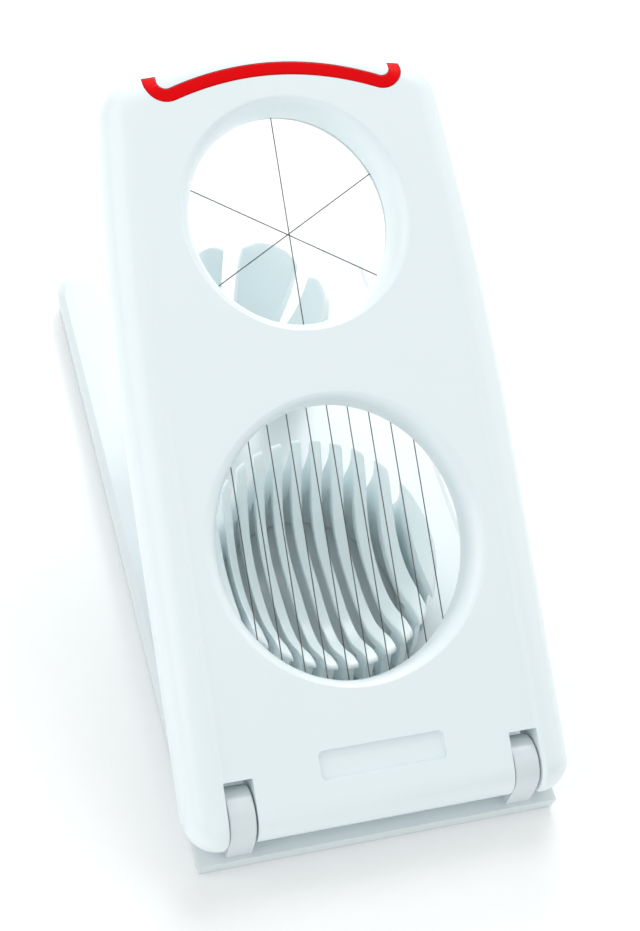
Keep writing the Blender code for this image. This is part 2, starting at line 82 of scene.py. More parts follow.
# ---------------------------------------------------------------- finishes
class NodeBench:
    """Adds and wires the shader nodes of one material."""

    def __init__(self, name: str) -> None:
        """Starts an empty material round a Principled shader.

        Args:
            name: Name of the material.
        """
        self.material = bpy.data.materials.new(name)
        self.material.use_nodes = True
        self.tree = self.material.node_tree
        self.shader = self.tree.nodes["Principled BSDF"]
        self.place = self.add("ShaderNodeTexCoord").outputs["Object"]

    def add(self, kind: str, **settings: Any) -> bpy.types.Node:
        """Adds one node.

        Args:
            kind: Type of the node.
            **settings: Properties of the node, or values of its inputs by name.

        Returns:
            The new node.
        """
        node = self.tree.nodes.new(kind)
        for key, value in settings.items():
            if hasattr(node, key):
                setattr(node, key, value)
            else:
                node.inputs[key.replace("_", " ")].default_value = value
        return node

    def link(self, start: bpy.types.NodeSocket, end: bpy.types.NodeSocket) -> None:
        """Joins an output to an input."""
        self.tree.links.new(start, end)

    def noise(self, scale: float, detail: float,
              stretch: Sequence[float] = (1.0, 1.0, 1.0)) -> bpy.types.NodeSocket:
        """Adds a noise that is fixed to the piece.

        Args:
            scale: Size of the pattern, in features per metre.
            detail: Octaves.
            stretch: Extra scale along each axis.

        Returns:
            The noise value.
        """
        spread = self.add("ShaderNodeMapping")
        spread.inputs["Scale"].default_value = stretch
        self.link(self.place, spread.inputs["Vector"])
        noise = self.add("ShaderNodeTexNoise", Scale=scale, Detail=detail)
        self.link(spread.outputs["Vector"], noise.inputs["Vector"])
        return noise.outputs["Fac"]

    def ranged(self, value: bpy.types.NodeSocket, low: float, high: float, start: float = 0.3,
               stop: float = 0.7) -> bpy.types.NodeSocket:
        """Maps a value between two limits.

        Args:
            value: The socket to map.
            low: Result at start.
            high: Result at stop.
            start: Input that gives low.
            stop: Input that gives high.

        Returns:
            The mapped value.
        """
        node = self.add("ShaderNodeMapRange")
        for key, number in (("From Min", start), ("From Max", stop), ("To Min", low), ("To Max", high)):
            node.inputs[key].default_value = number
        self.link(value, node.inputs["Value"])
        return node.outputs["Result"]

    def tint(self, factor: bpy.types.NodeSocket, first: Colour, second: Colour) -> bpy.types.NodeSocket:
        """Mixes two colours.

        Args:
            factor: Share of the second colour.
            first: Colour at 0.
            second: Colour at 1.

        Returns:
            The mixed colour.
        """
        share, low, high, result = 0, 6, 7, 2
        node = self.add("ShaderNodeMix", data_type="RGBA")
        node.inputs[low].default_value = (*first, 1.0)
        node.inputs[high].default_value = (*second, 1.0)
        self.link(factor, node.inputs[share])
        return node.outputs[result]

    def bump(self, height: bpy.types.NodeSocket, strength: float, distance: float) -> None:
        """Gives the shader a bump.

        Args:
            height: The height pattern.
            strength: Share of the effect.
            distance: Height of the pattern in metres.
        """
        node = self.add("ShaderNodeBump", Strength=strength, Distance=distance)
        self.link(height, node.inputs["Height"])
        self.link(node.outputs["Normal"], self.shader.inputs["Normal"])

    def colour(self, pattern: bpy.types.NodeSocket, first: Colour, second: Colour) -> None:
        """Colours the shader with a pattern that runs from one colour to another."""
        self.link(self.tint(self.ranged(pattern, 0.0, 1.0), first, second), self.shader.inputs["Base Color"])

    def settings(self, **values: Any) -> None:
        """Sets values of the shader's own inputs by name."""
        for key, value in values.items():
            self.shader.inputs[key.replace("_", " ")].default_value = value


@dataclass(frozen=True)
class MouldedPlastic:
    """Injection-moulded ABS: flow marks in the colour, a fine skin and faint handling scuffs."""

    name: str
    colour: Colour
    flow_colour: Colour
    roughness: float
    coat: float = 0.2
    skin: float = 0.05
    specular: float = 0.5
    scatter: float = 0.0

    def build(self) -> bpy.types.Material:
        """Makes the material.

        Returns:
            The finished material.
        """
        bench = NodeBench(self.name)
        flow = bench.noise(34.0, 2.0, (1.0, 0.45, 1.0))
        bench.colour(flow, self.colour, self.flow_colour)
        scuff = bench.noise(300.0, 3.0, (1.0, 0.15, 1.0))
        bench.link(bench.ranged(scuff, self.roughness - 0.015, self.roughness + 0.02, 0.2, 0.8),
                   bench.shader.inputs["Roughness"])
        bench.bump(bench.noise(2600.0, 1.0), self.skin, 0.02 * MM)
        bench.settings(Specular_IOR_Level=self.specular, Subsurface_Weight=self.scatter,
                       Subsurface_Radius=(0.8, 1.0, 1.1), Subsurface_Scale=3.0 * MM,
                       Coat_Weight=self.coat, Coat_Roughness=0.12, IOR=1.5)
        bench.material.diffuse_color = (*self.colour, 1.0)
        return bench.material


@dataclass(frozen=True)
class DrawnSteel:
    """Drawn stainless wire or pin: long drawing marks and a soft oxide tint."""

    name: str
    colour: Colour
    oxide: Colour
    roughness: float

    def build(self) -> bpy.types.Material:
        """Makes the material.

        Returns:
            The finished material.
        """
        bench = NodeBench(self.name)
        marks = bench.noise(900.0, 3.0, (1.0, 0.05, 1.0))
        bench.colour(marks, self.colour, self.oxide)
        bench.link(bench.ranged(marks, self.roughness - 0.06, self.roughness + 0.08),
                   bench.shader.inputs["Roughness"])
        bench.bump(marks, 0.2, 0.01 * MM)
        bench.settings(Metallic=1.0)
        bench.material.diffuse_color = (*self.colour, 1.0)
        return bench.material


@dataclass(frozen=True)
class StudioPaper:
    """Seamless pale paper of the studio floor."""

    name: str
    colour: Colour
    shade: Colour

    def build(self) -> bpy.types.Material:
        """Makes the material.

        Returns:
            The finished material.
        """
        bench = NodeBench(self.name)
        fibre = bench.noise(260.0, 4.0)
        bench.colour(fibre, self.colour, self.shade)
        bench.link(bench.ranged(fibre, 0.82, 0.92), bench.shader.inputs["Roughness"])
        bench.settings(Specular_IOR_Level=0.1)
        return bench.material


LID_WHITE = MouldedPlastic("lid_abs", (0.845, 0.915, 0.93), (0.835, 0.905, 0.922), 0.30)
# Base colour is darker than the lid's, though it is the same white plastic: painted shade that tones down
# its brightly lit deck and its front lip.
BASE_WHITE_SHADED = MouldedPlastic("base_abs", (0.735, 0.79, 0.803), (0.725, 0.783, 0.796), 0.32)
# Cradle colour is lighter and more cyan than the lid's, though it is the same white plastic: painted light
# that offsets the shade the lid casts over it. Its subsurface share is real scattering.
CRADLE_WHITE_LIT = MouldedPlastic("cradle_abs", (0.85, 0.955, 0.98), (0.84, 0.95, 0.975), 0.30, scatter=0.32)
CUP_WHITE = MouldedPlastic("cup_abs", (0.84, 0.915, 0.93), (0.83, 0.908, 0.924), 0.30, scatter=0.25)
RING_WHITE = MouldedPlastic("ring_abs", (0.74, 0.78, 0.79), (0.70, 0.75, 0.76), 0.42, 0.0, 0.2)
ACCENT_RED = MouldedPlastic("accent_red_abs", (0.80, 0.0, 0.003), (0.77, 0.0, 0.002), 0.38, 0.0, 0.03, 0.08)
WIRE_STEEL = DrawnSteel("drawn_wire", (0.17, 0.175, 0.18), (0.11, 0.115, 0.12), 0.36)
PIN_STEEL = DrawnSteel("drawn_pin", (0.55, 0.56, 0.57), (0.46, 0.47, 0.48), 0.34)
PAPER = StudioPaper("studio_paper", (0.975, 0.975, 0.975), (0.965, 0.965, 0.965))


# ---------------------------------------------------------------- workbench
class Bench:
    """Modelling steps that every piece shares."""

    @staticmethod
    def pick(obj: bpy.types.Object) -> None:
        """Selects one object and makes it active.

        Args:
            obj: The object.
        """
        bpy.ops.object.select_all(action="DESELECT")
        obj.select_set(True)
        bpy.context.view_layer.objects.active = obj

    @staticmethod
    @contextmanager
    def editing(obj: bpy.types.Object, kind: str = "", everything: bool = True) -> Iterator[None]:
        """Opens a piece in edit mode for as long as the block runs.

        Args:
            obj: The piece.
            kind: VERT, EDGE or FACE, to change what is selected by.
            everything: Whether all of it is selected first.

        Yields:
            Nothing. The piece is in edit mode meanwhile.
        """
        Bench.pick(obj)
        bpy.ops.object.mode_set(mode="EDIT")
        if kind:
            bpy.ops.mesh.select_mode(type=kind)
        if everything:
            bpy.ops.mesh.select_all(action="SELECT")
        yield
        bpy.ops.object.mode_set(mode="OBJECT")

    @staticmethod
    def new(name: str) -> bpy.types.Object:
        """Names the primitive that was just added and puts its place into its mesh.

        Args:
            name: Name of the piece.

        Returns:
            The piece.
        """
        obj = bpy.context.object
        obj.name = obj.data.name = name
        Bench.settle(obj)
        return obj

    @staticmethod
    def sheet(name: str, ring: Sequence[Point2], height: float) -> bpy.types.Object:
        """Starts a piece from a filled circle whose rim is drawn out to an outline.

        Args:
            name: Name of the piece.
            ring: Outline, anticlockwise.
            height: Height of the sheet.

        Returns:
            The sheet, with its face selected.
        """
        bpy.ops.object.select_all(action="DESELECT")
        bpy.ops.mesh.primitive_circle_add(vertices=len(ring), radius=50 * MM, fill_type="NGON")
        obj = Bench.new(name)
        for vertex, (x, y) in zip(obj.data.vertices, ring):
            vertex.co = (x, y, height)
        return obj

    @staticmethod
    def grow(obj: bpy.types.Object, steps: Sequence[tuple[float, float]]) -> None:
        """Raises the sheet's face in steps, each drawn in from the last.

        Args:
            obj: The sheet.
            steps: For each step, how far in and how far up.
        """
        with Bench.editing(obj, "FACE"):
            for inward, rise in steps:
                if inward:
                    bpy.ops.mesh.inset(thickness=inward, depth=rise, use_even_offset=True)
                else:
                    bpy.ops.mesh.extrude_region_move(TRANSFORM_OT_translate={"value": (0, 0, rise)})

    @staticmethod
    def stack(name: str, rings: Sequence[Point3], along: float, count: int = ROUND) -> bpy.types.Object:
        """Stacks ellipses into a solid, by extruding and scaling the rim of a filled circle.

        Args:
            name: Name of the piece.
            rings: For each ring, half width, half length and height.
            along: Place of their middle along Y.
            count: Points in each ring.

        Returns:
            The closed solid.
        """
        bpy.ops.object.select_all(action="DESELECT")
        bpy.ops.mesh.primitive_circle_add(vertices=count, radius=1.0, fill_type="NGON",
                                          location=(0, 0, rings[0][2]))
        obj = bpy.context.object
        obj.name = obj.data.name = name
        with Bench.editing(obj, "FACE"):
            bpy.ops.transform.resize(value=(rings[0][0], rings[0][1], 1), center_override=(0, 0, 0))
            for (ax, ay, az), (bx, by, bz) in zip(rings, rings[1:]):
                bpy.ops.mesh.extrude_region_move(TRANSFORM_OT_translate={"value": (0, 0, bz - az)})
                bpy.ops.transform.resize(value=(bx / ax, by / ay, 1), center_override=(0, 0, bz))
            bpy.ops.mesh.select_all(action="SELECT")
            bpy.ops.transform.translate(value=(0, along, 0))
            bpy.ops.mesh.normals_make_consistent(inside=False)
        Bench.settle(obj)
        return obj

    @staticmethod
    def bore(target: bpy.types.Object, name: str, half: Point2, span: Point2, along: float) -> None:
        """Cuts an upright oval hole.

        Args:
            target: The piece.
            name: Name of the cutter.
            half: Half width and half length of the hole.
            span: Its lower and upper end.
            along: Place of its middle along Y.
        """
        Bench.cut(target, Bench.stack(name, [(*half, span[0]), (*half, span[1])], along))

    @staticmethod
    def settle(obj: bpy.types.Object) -> None:
        """Puts the object's place into its mesh."""
        Bench.pick(obj)
        bpy.ops.object.transform_apply(location=True, rotation=True, scale=True)

    @staticmethod
    def facet(obj: bpy.types.Object) -> None:
        """Splits every face into triangles, so that a warped face cuts cleanly."""
        with Bench.editing(obj):
            bpy.ops.mesh.quads_convert_to_tris()

    @staticmethod
    def outward(obj: bpy.types.Object) -> None:
        """Turns the faces of a closed solid outwards.

        Args:
            obj: The solid.
        """
        with Bench.editing(obj):
            bpy.ops.mesh.remove_doubles(threshold=0.001 * MM)
            bpy.ops.mesh.normals_make_consistent(inside=False)

    @staticmethod
    def block(name: str, low: Sequence[float], high: Sequence[float]) -> bpy.types.Object:
        """A block between two corners, for cutting and joining.

        Args:
            name: Name of the block.
            low: Lowest corner.
            high: Highest corner.

        Returns:
            The block.
        """
        middle = [(a + b) / 2 for a, b in zip(low, high)]
        bpy.ops.object.select_all(action="DESELECT")
        bpy.ops.mesh.primitive_cube_add(size=1.0, location=middle, scale=[b - a for a, b in zip(low, high)])
        return Bench.new(name)

    @staticmethod
    def bar(name: str, stations: Sequence[Point2], centre: Point2, count: int = ROUND) -> bpy.types.Object:
        """A round bar along X, by extruding and scaling the end of a filled circle.

        Args:
            name: Name of the bar.
            stations: For each station, its place across and its radius.
            centre: Place of the axis, along and up.
            count: Sides.

        Returns:
            The bar.
        """
        bpy.ops.object.select_all(action="DESELECT")
        bpy.ops.mesh.primitive_circle_add(vertices=count, radius=stations[0][1], fill_type="NGON",
                                          location=(stations[0][0], 0, 0), rotation=(0, QUARTER, 0))
        obj = Bench.new(name)
        with Bench.editing(obj, "FACE"):
            for (ax, ar), (bx, br) in zip(stations, stations[1:]):
                bpy.ops.mesh.extrude_region_move(TRANSFORM_OT_translate={"value": (bx - ax, 0, 0)})
                bpy.ops.transform.resize(value=(1, br / ar, br / ar), center_override=(bx, 0, 0))
            bpy.ops.mesh.select_all(action="SELECT")
            bpy.ops.transform.translate(value=(0, centre[0], centre[1]))
            bpy.ops.mesh.normals_make_consistent(inside=False)
        return obj

    @staticmethod
    def cut(target: bpy.types.Object, tool: bpy.types.Object, operation: str = "DIFFERENCE") -> None:
        """Cuts, joins or crosses target with tool, and uses the tool up.

        Args:
            target: The piece.
            tool: The other solid.
            operation: DIFFERENCE, UNION or INTERSECT.
        """
        Bench.pick(target)
        change = target.modifiers.new("Cut", "BOOLEAN")
        change.operation = operation
        change.solver = "EXACT"
        change.object = tool
        bpy.ops.object.modifier_apply(modifier=change.name)
        bpy.data.objects.remove(tool, do_unlink=True)

    @staticmethod
    def ease(obj: bpy.types.Object, width: float, angle: float) -> None:
        """Rounds the sharp edges of a finished solid.

        Args:
            obj: The solid.
            width: Width of the rounding.
            angle: Edges sharper than this are rounded, in degrees.
        """
        Bench.pick(obj)
        edge = obj.modifiers.new("Ease", "BEVEL")
        edge.width = width
        edge.segments = 2
        edge.limit_method = "ANGLE"
        edge.angle_limit = math.radians(angle)
        edge.miter_outer = "MITER_ARC"
        bpy.ops.object.modifier_apply(modifier=edge.name)

    @staticmethod
    def coat(obj: bpy.types.Object, material: bpy.types.Material) -> None:
        """Gives all of a piece one material."""
        obj.data.materials.clear()
        obj.data.materials.append(material)

    @staticmethod
    def finish(obj: bpy.types.Object, material: bpy.types.Material, angle: float = 30.0) -> None:
        """Gives a piece its material and smooth shading.

        Args:
            obj: The piece.
            material: Its finish.
            angle: Edges sharper than this stay crisp, in degrees.
        """
        Bench.coat(obj, material)
        Bench.pick(obj)
        bpy.ops.object.shade_smooth_by_angle(angle=math.radians(angle))
        weight = obj.modifiers.new("Weight", "WEIGHTED_NORMAL")
        weight.keep_sharp = True
        weight.weight = 90
        bpy.ops.object.modifier_apply(modifier=weight.name)


def mount(piece: bpy.types.Object, body: Body, slot: Slot, *nodes: str) -> None:
    """Hands a finished piece to the frame.

    Args:
        piece: The piece.
        body: The half it moves with.
        slot: Its material slot; not used.
        *nodes: CAD nodes it stands for.
    """
    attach(piece, body.value)
    if nodes:
        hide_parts(*nodes)
    log.info("%s: %d faces on %s", piece.name, len(piece.data.polygons), body.value)


def dress(node: str, material: bpy.types.Material) -> None:
    """Gives a carried-over CAD node its finish."""
    Bench.coat(frame["nodes"][node], material)
    log.info("%s: finish %s", node, material.name)


# ---------------------------------------------------------------- outlines
@dataclass(frozen=True)
class Outline:
    """Plan outline with straight sides, round far corners and a bowed far edge."""

    near: float
    far: float
    half: Callable[[float], float]
    bow: float
    corner: float
    sides: int = 24
    turns: int = 12
    tightest: float = 0.0006

    def ring(self, inset: float = 0.0) -> list[Point2]:
        """The outline, anticlockwise.

        Args:
            inset: How far in from the full outline.

        Returns:
            Points from the near right corner round to the near left one.
        """
        wide = self.half(self.far)
        middle = wide - self.corner
        lean = math.atan(2 * self.bow * middle / (wide * wide))
        radius = max(self.corner - inset, self.tightest)

        def bowed(x: float) -> float:
            """How far the free end falls back at x."""
            return -self.bow * (x / wide) ** 2

        edge = middle + self.corner * math.sin(lean)
        centre = self.far + bowed(edge) - self.corner * math.cos(lean)
        right: list[Point2] = []
        for i in range(self.sides + 1):
            share = i / self.sides
            y = self.near + (centre - self.near) * share
            right.append((self.half(y) - inset - (self.half(centre) - wide) * share ** 4, y))
        for i in range(1, self.turns):
            angle = (QUARTER - lean) * i / self.turns
            right.append((middle + radius * math.cos(angle), centre + radius * math.sin(angle)))
        end_x, end_y = right[-1]
        for i in range(1, self.turns):
            x = end_x * (1 - i / self.turns)
            right.append((x, end_y + bowed(x) - bowed(end_x)))
        top = (0.0, end_y - bowed(end_x))
        return right + [top] + [(-x, y) for x, y in reversed(right)]


@dataclass(frozen=True)
class HingeFrame:
    """Where the hinge axis is and how far the lid stands open at rest."""

    y: float
    z: float
    angle: float

    @classmethod
    def from_joint(cls, joint: dict[str, Any]) -> "HingeFrame":
        """Reads the hinge from the lid's joint in the record."""
        return cls(joint["pos_m"][1], joint["pos_m"][2], -math.radians(joint["range_deg"][0]))

    def swing(self, obj: bpy.types.Object) -> None:
        """Moves a piece that was modelled flat to where the lid stands."""
        obj.data.transform(Matrix.Translation((0, self.y, self.z)) @ Matrix.Rotation(self.angle, 4, "X"))


# ---------------------------------------------------------------- lid
@dataclass
class LidShell:
    """Hollow lid with rounded rails, a sunk panel, hinge barrel and two flared openings."""

    hinge: HingeFrame
    length: float = 176.2 * MM
    half_width: float = 46.0 * MM
    far_half_width: float = 41.6 * MM
    bow: float = 9.8 * MM
    corner: float = 10.0 * MM
    skirt: float = 3.4 * MM
    wall: float = 2.2 * MM
    top: float = 7.5 * MM
    round_in: float = 7.8 * MM
    shoulder: float = -0.2 * MM
    crease: float = 1.3 * MM
    sink: float = 0.75 * MM
    sink_end: float = 163.0 * MM
    ear_centre: float = 33.9 * MM
    ear_width: float = 6.1 * MM
    ear_radius: float = 7.0 * MM
    side_play: float = 0.35 * MM
    pin_radius: float = 1.8 * MM
    slice_centre: float = 57.0 * MM
    slice_half: Point2 = (30.0 * MM, 32.1 * MM)
    slice_flare: Point2 = (4.0 * MM, 1.9 * MM)
    wedge_centre: float = 133.3 * MM
    wedge_half: Point2 = (24.3 * MM, 25.5 * MM)
    wedge_flare: Point2 = (4.0 * MM, 2.8 * MM)
    slice_rim: float = -1.8 * MM
    wedge_rim: float = -1.25 * MM
    slice_straight: float = 1.8 * MM
    wedge_straight: float = 0.6 * MM
    relief: float = 6.0 * MM
    bore_half: float = 7.3 * MM
    notch_gap: float = 0.6 * MM
    roof: tuple[Point2, ...] = ((0.0, 8.0 * MM), (0.6 * MM, 1.6 * MM), (1.4 * MM, 1.8 * MM),
                                (2.2 * MM, 1.1 * MM))
    plaque_low: Point2 = (-15.0 * MM, 4.3 * MM)
    plaque_high: Point2 = (15.0 * MM, 10.9 * MM)
    plaque_sunk: float = 0.8 * MM
    plaque_corner: float = 1.3 * MM
    through: float = 20 * MM
    edge_steps: int = 14
    fillet_steps: int = 10
    overshoot: float = 0.015 * MM
    crisp: float = 11.0

    def half(self, s: float) -> float:
        """Half width of the lid at s."""
        share = min(max((s - 0.45 * self.length) / (0.55 * self.length), 0.0), 1.0)
        return self.half_width - (self.half_width - self.far_half_width) * share * share

    def outline(self, near: float) -> Outline:
        """Plan outline of the lid from near on."""
        return Outline(near, self.length, self.half, self.bow, self.corner)

    def panel(self, s: float) -> float:
        """Height of the sunk panel at s: lowest at the hinge, level with the rails at the far end."""
        return self.top - self.sink * max(1 - max(s, 0.0) / self.sink_end, 0.0)

    def edge_height(self, inset: float) -> float:
        """Height of the rounded rail at a distance in from the outline."""
        share = min(max(1 - inset / self.round_in, 0.0), 1.0)
        return self.shoulder + (self.top - self.shoulder) * math.sqrt(1 - share * share)

    def edge_profile(self) -> list[Point2]:
        """Stations of the rounded rail: distance in and height.

        Returns:
            The stations, from the outline inwards.
        """
        points = []
        for i in range(self.edge_steps + 1):
            angle = QUARTER * i / self.edge_steps
            inset = self.round_in * (1 - math.cos(angle))
            points.append((inset, self.shoulder + (self.top - self.shoulder) * math.sin(angle)))
        return points

    def body(self) -> bpy.types.Object:
        """The plate with its rounded rails and sunk panel.

        Returns:
            A closed solid that ends at the hinge axis.
        """
        obj = Bench.sheet("lid_shell", self.outline(-self.through).ring(), -self.skirt)
        profile = self.edge_profile()
        steps = [(0.0, self.shoulder + self.skirt)]
        steps += [(b[0] - a[0], b[1] - a[1]) for a, b in zip(profile, profile[1:])]
        steps.append((self.crease, 0.0))
        Bench.grow(obj, steps)
        with Bench.editing(obj, everything=False):
            bpy.ops.mesh.bisect(plane_co=(0, self.sink_end, 0), plane_no=(0, 1, 0))
        for face in obj.data.polygons:
            if len(face.vertices) > 8 and face.center.z > self.top - 0.1 * MM:
                for index in face.vertices:
                    vertex = obj.data.vertices[index]
                    vertex.co.z = self.panel(vertex.co.y)
        Bench.outward(obj)
        with Bench.editing(obj):
            bpy.ops.mesh.bisect(plane_co=(0, 0, 0), plane_no=(0, 1, 0), clear_inner=True, use_fill=True)
        Bench.facet(obj)
        return obj

    def barrel(self) -> bpy.types.Object:
        """The hinge barrel, which carries the panel and the rails round the axis.

        Returns:
            A closed solid round the hinge axis.
        """
        edge = [(self.half_width - inset, height) for inset, height in self.edge_profile()
                if height > 1.0 * MM]
        inner = self.half_width - self.round_in - self.crease
        right = [(inner, self.panel(0.0))] + edge[::-1]
        stations = [(-x, r) for x, r in reversed(right)] + right
        return Bench.bar("lid_barrel", stations, (0.0, 0.0))

    def funnel(self, name: str, centre: float, half: Point2, flare: Point2, low: float) -> bpy.types.Object:
        """Cutter of an opening: straight below and flared out to the panel in a fillet.

        Args:
            name: Name of the cutter.
            centre: Middle of the opening along the lid.
            half: Half width and half length.
            flare: How far it widens to the panel, across and along.
            low: Where the fillet starts.

        Returns:
            The cutter.
        """
        rings = [(half[0], half[1], -12.0 * MM), (half[0], half[1], low)]
        for i in range(1, self.fillet_steps + 1):
            angle = QUARTER * i / self.fillet_steps
            out = 1 - math.cos(angle)
            rings.append((half[0] + flare[0] * out, half[1] + flare[1] * out,
                          low + (self.top - low) * math.sin(angle)))
        rings.append((half[0] + flare[0] * 1.2, half[1] + flare[1] * 1.2, self.top + 2.0 * MM))
        tool = Bench.stack(name, rings, centre, 128)
        for vertex in tool.data.vertices:
            if vertex.co.z > low + 0.01 * MM:
                share = (vertex.co.z - low) / (self.top - low)
                vertex.co.z = low + (self.panel(vertex.co.y) + self.overshoot - low) * share
        Bench.facet(tool)
        return tool

    def hollow(self) -> bpy.types.Object:
        """Cutter of the hollow underside, with a collar left round each opening.

        Returns:
            The cutter.
        """
        near = self.top + self.wall
        obj = Bench.sheet("lid_hollow", self.outline(near).ring(self.wall), -self.roof[0][1])
        Bench.grow(obj, self.roof)
        Bench.outward(obj)
        grow = self.wall + 0.4 * MM
        for centre, half in ((self.slice_centre, self.slice_half), (self.wedge_centre, self.wedge_half)):
            size = (half[0] + grow, half[1] + grow)
            Bench.bore(obj, "collar", size, (-self.through, self.through), centre)
        return obj

    def plaque(self) -> bpy.types.Object:
        """Cutter of the plain sunk field near the hinge.

        Returns:
            The cutter.
        """
        tool = Bench.block("plaque", (*self.plaque_low, self.panel(0.0) - self.plaque_sunk),
                           (*self.plaque_high, self.through))
        with Bench.editing(tool, "EDGE", everything=False):
            bpy.ops.mesh.select_all(action="DESELECT")
        for edge in tool.data.edges:
            a, b = (tool.data.vertices[i].co for i in edge.vertices)
            edge.select = abs(a.z - b.z) > 1.0 * MM
        with Bench.editing(tool, everything=False):
            bpy.ops.mesh.bevel(offset=self.plaque_corner, segments=6, affect="EDGES")
        return tool

    def build(self, material: bpy.types.Material, groove: bpy.types.Object) -> None:
        """Makes and dresses the shell.

        Args:
            material: Its finish.
            groove: Cutter of the stripe's groove.
        """
        lid = self.body()
        Bench.cut(lid, self.barrel(), "UNION")
        for side in (-1, 1):
            middle = side * self.ear_centre
            half = self.ear_width / 2 + self.side_play
            Bench.cut(lid, Bench.block("notch", (middle - half, -self.through, -self.through),
                                       (middle + half, self.ear_radius + self.notch_gap, self.through)))
            ends = [(middle - self.bore_half, self.pin_radius), (middle + self.bore_half, self.pin_radius)]
            Bench.cut(lid, Bench.bar("bore", ends, (0, 0), 32))
        Bench.cut(lid, self.hollow())
        openings = ((self.slice_centre, self.slice_half, self.slice_flare, self.slice_straight,
                     self.slice_rim),
                    (self.wedge_centre, self.wedge_half, self.wedge_flare, self.wedge_straight,
                     self.wedge_rim))
        for centre, half, flare, low, rim in openings:
            Bench.cut(lid, self.funnel("opening", centre, half, flare, low))
            size = (half[0] + self.relief, half[1] + self.relief)
            Bench.bore(lid, "relief", size, (-self.through, rim), centre)
        Bench.cut(lid, groove)
        Bench.cut(lid, self.plaque())
        Bench.outward(lid)
        Bench.finish(lid, material, self.crisp)
        self.hinge.swing(lid)
        mount(lid, Body.LID, Slot.LID, "lid_frame")


@dataclass
class Stripe:
    """Red inlay near the free end: a shallow smile with upturned ends."""

    lid: LidShell
    width: float = 3.0 * MM
    span: float = 25.0 * MM
    crown: float = 167.85 * MM
    sag: float = 4.6 * MM
    turn: float = 3.6 * MM
    rise: float = 1.6 * MM
    end_lean: float = 0.10
    steps: int = 24
    end_steps: int = 12

    def path(self) -> list[Point2]:
        """Middle line of the stripe from its left tip to its right tip.

        Returns:
            The points of the line.
        """
        points = [(self.span * i / self.steps, self.crown - self.sag * (i / self.steps) ** 2)
                  for i in range(self.steps + 1)]
        low_x, low_s = points[-1]
        lean = math.atan(2 * self.sag / self.span)
        for i in range(1, self.end_steps + 1):
            angle = -QUARTER - lean + (QUARTER + lean - self.end_lean) * i / self.end_steps
            points.append((low_x + self.turn * (math.sin(lean) + math.cos(angle)),
                           low_s + self.turn * (math.cos(lean) + math.sin(angle))))
        points.append((points[-1][0], points[-1][1] + self.rise))
        return [(-x, s) for x, s in reversed(points[1:])] + points

    def outline(self, grow: float) -> list[Point2]:
        """Closed outline of the stripe, anticlockwise.

        Args:
            grow: How far it is wider than the stripe all round.

        Returns:
            The outline.
        """
        path = self.path()
        half = self.width / 2 + grow
        lower, upper = [], []
        last = len(path) - 1
        for i, (x, s) in enumerate(path):
            ahead = Vector(path[min(i + 1, last)]) - Vector(path[max(i - 1, 0)])
            ahead.normalize()
            end = grow if i == last else (-grow if i == 0 else 0.0)
            for side, row in ((1, upper), (-1, lower)):
                row.append((x - ahead.y * half * side + ahead.x * end,
                            s + ahead.x * half * side + ahead.y * end))
        return lower + upper[::-1]

    def surface(self, x: float, s: float) -> float:
        """Height of the lid's top at a point near the free end.

        Args:
            x: Place across.
            s: Place along the lid.

        Returns:
            The height above the hinge axis.
        """
        ring = self.lid.outline(0.0).ring()
        best = 1.0
        for (ax, ay), (bx, by) in zip(ring, ring[1:]):
            ex, ey = bx - ax, by - ay
            share = min(max(((x - ax) * ex + (s - ay) * ey) / (ex * ex + ey * ey), 0.0), 1.0)
            best = min(best, math.hypot(x - ax - share * ex, s - ay - share * ey))
        return self.lid.edge_height(best)

    def band(self, name: str, grow: float, low: float, high: float, ease: float) -> bpy.types.Object:
        """A band that follows the top of the lid.

        Args:
            name: Name of the band.
            grow: How far it is wider than the stripe.
            low: Its underside, above the lid's top.
            high: Its top, above the lid's top.
            ease: Rounding of its upper edge.

        Returns:
            The closed band.
        """
        obj = Bench.sheet(name, self.outline(grow), low)
        steps = [(0.0, high - low - ease)]
        if ease:
            steps += [(ease * 0.3, ease * 0.7), (ease * 0.7, ease * 0.3)]
        Bench.grow(obj, steps)
        Bench.outward(obj)
        Bench.facet(obj)
        for vertex in obj.data.vertices:
            vertex.co.z += self.surface(vertex.co.x, vertex.co.y)
        return obj

    def groove(self) -> bpy.types.Object:
        """Cutter of the groove that the stripe lies in."""
        return self.band("stripe_groove", 0.12 * MM, -0.65 * MM, 2.0 * MM, 0.0)

    def build(self, material: bpy.types.Material) -> None:
        """Makes and dresses the stripe.

        Args:
            material: Its finish.
        """
        obj = self.band("stripe_inlay", 0.0, -0.5 * MM, 0.10 * MM, 0.3 * MM)
        Bench.finish(obj, material, 50.0)
        self.lid.hinge.swing(obj)
        mount(obj, Body.LID, Slot.RED, "accent_stripe")


